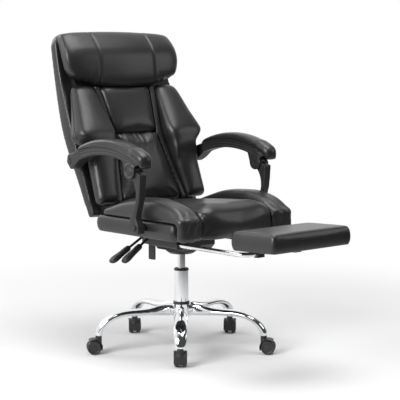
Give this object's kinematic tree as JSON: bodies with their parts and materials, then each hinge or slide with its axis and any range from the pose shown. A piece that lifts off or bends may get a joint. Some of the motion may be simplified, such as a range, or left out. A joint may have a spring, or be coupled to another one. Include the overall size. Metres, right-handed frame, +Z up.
{
  "type": "office chair with footrest",
  "caption": "High-back padded swivel office chair with reclining back, linked arms, gas lift, five-star chrome base on casters and a pull-out flip-over footrest.",
  "frame": {"origin": "on the floor at the foot of the gas column's axis", "axes": "+Z up, the sitter faces -Y, +X is the sitter's left"},
  "size_m": [0.6537, 1.061, 1.1113],
  "materials": {
    "chrome": "polished",
    "steel": "bright zinc",
    "black_steel": "black powder coat",
    "black_plastic": "fine matte texture",
    "wheel_plastic": "smooth satin",
    "lined_board": "plywood under black lining cloth",
    "leather": "soft black synthetic leather with a fine grain"
  },
  "bodies": {
    "base": {"base_star": "chrome", "hub_collar": "black_plastic", "column_tube": "chrome", "column_bushing": "black_plastic", "thrust_bearing": "steel"},
    "gas_rod": {"piston_rod": "chrome", "retaining_clip": "steel"},
    "seat": {"gas_cylinder": "chrome", "mechanism_housing": "black_steel", "seat_plate": "black_steel", "pivot_pins": "steel", "seat_board": "lined_board", "seat_plinth": "leather", "seat_cushion": "leather", "seat_bolsters": "leather", "seat_bolts": "black_steel", "footrest_guides": "black_plastic"},
    "valve": {"valve_pin": "steel"},
    "recline_lever": {"recline_lever": "black_steel", "recline_lever_grip": "black_plastic"},
    "height_lever": {"height_lever": "black_steel", "height_lever_grip": "black_plastic"},
    "lock_tab": {"lock_tab": "black_plastic"},
    "back": {"back_bars": "black_steel", "back_shell": "leather", "back_board": "leather", "back_panel_upper": "leather", "back_panel_lower": "leather", "back_wings": "leather", "back_sides": "leather", "back_welts": "leather", "head_pillow": "leather", "arm_pivot_bolts": "black_steel"},
    "post_left": {"arm_post_left": "black_plastic"},
    "post_right": {"arm_post_right": "black_plastic"},
    "arm_left": {"arm_frame_left": "black_plastic", "arm_pad_left": "leather", "arm_pin_left": "black_steel"},
    "arm_right": {"arm_frame_right": "black_plastic", "arm_pad_right": "leather", "arm_pin_right": "black_steel"},
    "footrest": {"footrest_frame": "chrome"},
    "footrest_pad": {"footrest_clips": "black_steel", "footrest_board": "lined_board", "footrest_pad": "leather"},
    "caster_1": {"caster_1_hood": "black_plastic", "caster_1_pins": "steel"},
    "wheels_1": {"caster_1_wheels": "wheel_plastic"},
    "caster_2": {"caster_2_hood": "black_plastic", "caster_2_pins": "steel"},
    "wheels_2": {"caster_2_wheels": "wheel_plastic"},
    "caster_3": {"caster_3_hood": "black_plastic", "caster_3_pins": "steel"},
    "wheels_3": {"caster_3_wheels": "wheel_plastic"},
    "caster_4": {"caster_4_hood": "black_plastic", "caster_4_pins": "steel"},
    "wheels_4": {"caster_4_wheels": "wheel_plastic"},
    "caster_5": {"caster_5_hood": "black_plastic", "caster_5_pins": "steel"},
    "wheels_5": {"caster_5_wheels": "wheel_plastic"}
  },
  "joints": [
    {"name": "swivel", "type": "hinge", "parent": "base", "child": "gas_rod", "pos_m": [0, 0, 0.1], "axis": [0, 0, 1], "continuous": true},
    {"name": "height", "type": "slide", "parent": "gas_rod", "child": "seat", "axis": [0, 0, 1], "range_m": [-0.04, 0.06]},
    {"name": "recline", "type": "hinge", "parent": "seat", "child": "back", "pos_m": [0, 0.185, 0.445], "axis": [-1, 0, 0], "range_deg": [0, 28]},
    {"name": "recline_lever", "type": "hinge", "parent": "seat", "child": "recline_lever", "pos_m": [-0.082, 0.103, 0.398], "axis": [0, 1, 0], "range_deg": [0, 8], "stiffness_Nm_per_rad": 4, "springref_deg": -5.73},
    {"name": "height_lever", "type": "hinge", "parent": "seat", "child": "height_lever", "pos_m": [-0.082, 0.072, 0.398], "axis": [0, 1, 0], "range_deg": [0, 4], "stiffness_Nm_per_rad": 6, "springref_deg": -4.58},
    {"name": "valve_press", "type": "slide", "parent": "seat", "child": "valve", "axis": [0, 0, -1], "range_m": [0, 0.006]},
    {"name": "lock_tab_swing", "type": "hinge", "parent": "seat", "child": "lock_tab", "pos_m": [-0.0975, 0.046, 0.378], "axis": [1, 0, 0], "range_deg": [-20, 20]},
    {"name": "footrest_slide", "type": "slide", "parent": "seat", "child": "footrest", "axis": [0, -1, 0], "range_m": [-0.195, 0]},
    {"name": "footrest_flip", "type": "hinge", "parent": "footrest", "child": "footrest_pad", "pos_m": [0, -0.47, 0.397], "axis": [1, 0, 0], "range_deg": [0, 180]},
    {"name": "post_left", "type": "hinge", "parent": "seat", "child": "post_left", "pos_m": [0.287, -0.109, 0.462], "axis": [-1, 0, 0], "range_deg": [0, 32.5]},
    {"name": "arm_left", "type": "hinge", "parent": "post_left", "child": "arm_left", "pos_m": [0.287, -0.093, 0.648], "axis": [-1, 0, 0], "range_deg": [-30, 0]},
    {"name": "post_right", "type": "hinge", "parent": "seat", "child": "post_right", "pos_m": [-0.287, -0.109, 0.462], "axis": [-1, 0, 0], "range_deg": [0, 32.5]},
    {"name": "arm_right", "type": "hinge", "parent": "post_right", "child": "arm_right", "pos_m": [-0.287, -0.093, 0.648], "axis": [-1, 0, 0], "range_deg": [-30, 0]},
    {"name": "caster_1_swivel", "type": "hinge", "parent": "base", "child": "caster_1", "pos_m": [-0.20074, -0.22294, 0.06], "axis": [0, 0, 1], "continuous": true},
    {"name": "caster_1_roll", "type": "hinge", "parent": "caster_1", "child": "wheels_1", "pos_m": [-0.19003, -0.21105, 0.025], "axis": [-0.7431, 0.6691, 0], "continuous": true},
    {"name": "caster_2_swivel", "type": "hinge", "parent": "base", "child": "caster_2", "pos_m": [0.15, -0.25981, 0.06], "axis": [0, 0, 1], "continuous": true},
    {"name": "caster_2_roll", "type": "hinge", "parent": "caster_2", "child": "wheels_2", "pos_m": [0.15985, -0.27242, 0.025], "axis": [0.788, 0.6157, 0], "continuous": true},
    {"name": "caster_3_swivel", "type": "hinge", "parent": "base", "child": "caster_3", "pos_m": [0.29344, 0.06237, 0.06], "axis": [0, 0, 1], "continuous": true},
    {"name": "caster_3_roll", "type": "hinge", "parent": "caster_3", "child": "wheels_3", "pos_m": [0.30534, 0.07308, 0.025], "axis": [-0.6691, 0.7431, 0], "continuous": true},
    {"name": "caster_4_swivel", "type": "hinge", "parent": "base", "child": "caster_4", "pos_m": [0.03136, 0.29836, 0.06], "axis": [0, 0, 1], "continuous": true},
    {"name": "caster_4_roll", "type": "hinge", "parent": "caster_4", "child": "wheels_4", "pos_m": [0.04076, 0.3113, 0.025], "axis": [-0.809, 0.5878, 0], "continuous": true},
    {"name": "caster_5_swivel", "type": "hinge", "parent": "base", "child": "caster_5", "pos_m": [-0.27406, 0.12202, 0.06], "axis": [0, 0, 1], "continuous": true},
    {"name": "caster_5_roll", "type": "hinge", "parent": "caster_5", "child": "wheels_5", "pos_m": [-0.28763, 0.1305, 0.025], "axis": [-0.5299, -0.848, 0], "continuous": true}
  ],
  "couplings": [
    {"joint": "post_left", "follows": "recline", "ratio": 1.1371},
    {"joint": "post_right", "follows": "recline", "ratio": 1.1371},
    {"joint": "arm_left", "follows": "recline", "ratio": -1.0469},
    {"joint": "arm_right", "follows": "recline", "ratio": -1.0469},
    {"joint": "valve_press", "follows": "height_lever", "m_per_rad": 0.08594},
    {"joint": "footrest_flip", "follows": "footrest_slide", "rad_per_m": -16.1}
  ]
}
